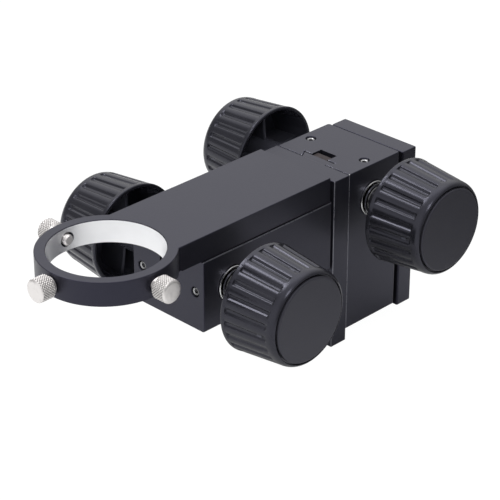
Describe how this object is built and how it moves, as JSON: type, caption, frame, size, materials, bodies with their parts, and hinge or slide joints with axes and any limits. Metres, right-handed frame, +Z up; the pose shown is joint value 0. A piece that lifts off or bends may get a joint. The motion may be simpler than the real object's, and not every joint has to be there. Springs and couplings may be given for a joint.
{
  "type": "two-axis translation stage for a microscope",
  "caption": "Two-axis rack-and-pinion stage with large knobs: one slide lifts, the other runs a ring arm with thumb screws in and out.",
  "frame": {"origin": "centre of the rear mounting plate's flat back face", "axes": "+X along the knobs' shafts, +Y out of the mounting plate's back face, +Z up along the lift slide; the ring points to -Y"},
  "size_m": [0.1354, 0.2088, 0.0922],
  "materials": {
    "black_paint": "fine-textured satin black paint on machined metal",
    "black_plastic": "moulded satin black",
    "cap_plastic": "fine matte black",
    "steel": "turned",
    "chrome": "polished turned rings",
    "brass": "machined",
    "nickel": "knurled nickel plate"
  },
  "bodies": {
    "base": {"rear_mounting_plate": "black_paint", "rear_plate_screw_1": "steel", "rear_plate_screw_2": "steel", "rear_plate_screw_3": "steel", "rear_plate_screw_4": "steel", "rear_housing": "black_paint", "rear_bush_left": "chrome", "rear_bush_right": "chrome", "rear_bush_lock_screw_left": "steel", "rear_bush_lock_screw_right": "steel"},
    "rear_drive": {"rear_pinion_shaft": "steel", "rear_tension_washer_left": "chrome", "rear_tension_washer_right": "chrome", "rear_knob_left": "black_plastic", "rear_knob_right": "black_plastic", "rear_knob_screw_left": "steel", "rear_knob_screw_right": "steel", "rear_knob_cap_left": "cap_plastic", "rear_knob_cap_right": "cap_plastic"},
    "lift": {"lift_plate": "black_paint", "lift_plate_screw_1": "steel", "lift_plate_screw_2": "steel", "lift_plate_screw_3": "steel", "lift_plate_screw_4": "steel", "lift_rack": "brass", "lift_rack_screw_1": "steel", "lift_rack_screw_2": "steel", "front_housing": "black_paint", "front_bush_left": "chrome", "front_bush_right": "chrome", "front_bush_lock_screw_left": "steel", "front_bush_lock_screw_right": "steel"},
    "front_drive": {"front_pinion_shaft": "steel", "front_tension_washer_left": "chrome", "front_tension_washer_right": "chrome", "front_knob_left": "black_plastic", "front_knob_right": "black_plastic", "front_knob_screw_left": "steel", "front_knob_screw_right": "steel", "front_knob_cap_left": "cap_plastic", "front_knob_cap_right": "cap_plastic"},
    "arm": {"ring_arm": "black_paint", "arm_rack": "brass", "arm_rack_screw_1": "steel", "arm_rack_screw_2": "steel"},
    "front_thumb_stud": {"front_thumb_screw_stud": "nickel"},
    "front_thumb_head": {"front_thumb_screw_head": "nickel"},
    "right_thumb_stud": {"right_thumb_screw_stud": "nickel"},
    "right_thumb_head": {"right_thumb_screw_head": "nickel"},
    "left_thumb_stud": {"left_thumb_screw_stud": "nickel"},
    "left_thumb_head": {"left_thumb_screw_head": "nickel"}
  },
  "joints": [
    {"name": "rear_pinion_turn", "type": "hinge", "parent": "base", "child": "rear_drive", "pos_m": [0, -0.0296, 0.0245], "axis": [1, 0, 0], "range_deg": [-328, 82]},
    {"name": "lift_slide", "type": "slide", "parent": "base", "child": "lift", "axis": [0, 0, 1], "range_m": [-0.01, 0.04]},
    {"name": "front_pinion_turn", "type": "hinge", "parent": "lift", "child": "front_drive", "pos_m": [0, -0.1192, 0.0157], "axis": [1, 0, 0], "range_deg": [0, 369]},
    {"name": "arm_slide", "type": "slide", "parent": "lift", "child": "arm", "axis": [0, -1, 0], "range_m": [0, 0.045]},
    {"name": "front_screw_advance", "type": "slide", "parent": "arm", "child": "front_thumb_stud", "axis": [0, 1, 0], "range_m": [-0.003, 0]},
    {"name": "front_screw_turn", "type": "hinge", "parent": "front_thumb_stud", "child": "front_thumb_head", "pos_m": [0, -0.2068, 0.0383], "axis": [0, 1, 0], "range_deg": [-1351, 0]},
    {"name": "right_screw_advance", "type": "slide", "parent": "arm", "child": "right_thumb_stud", "axis": [-1, 0, 0], "range_m": [-0.002, 0.001]},
    {"name": "right_screw_turn", "type": "hinge", "parent": "right_thumb_stud", "child": "right_thumb_head", "pos_m": [0.0376, -0.1702, 0.0383], "axis": [-1, 0, 0], "range_deg": [-901, 451]},
    {"name": "left_screw_advance", "type": "slide", "parent": "arm", "child": "left_thumb_stud", "axis": [1, 0, 0], "range_m": [-0.003, 0]},
    {"name": "left_screw_turn", "type": "hinge", "parent": "left_thumb_stud", "child": "left_thumb_head", "pos_m": [-0.0366, -0.1702, 0.0383], "axis": [1, 0, 0], "range_deg": [-1351, 0]}
  ],
  "couplings": [
    {"joint": "rear_pinion_turn", "follows": "lift_slide", "rad_per_m": -142.86},
    {"joint": "front_pinion_turn", "follows": "arm_slide", "rad_per_m": 142.86},
    {"joint": "front_screw_turn", "follows": "front_screw_advance", "rad_per_m": 7854},
    {"joint": "right_screw_turn", "follows": "right_screw_advance", "rad_per_m": 7854},
    {"joint": "left_screw_turn", "follows": "left_screw_advance", "rad_per_m": 7854}
  ]
}
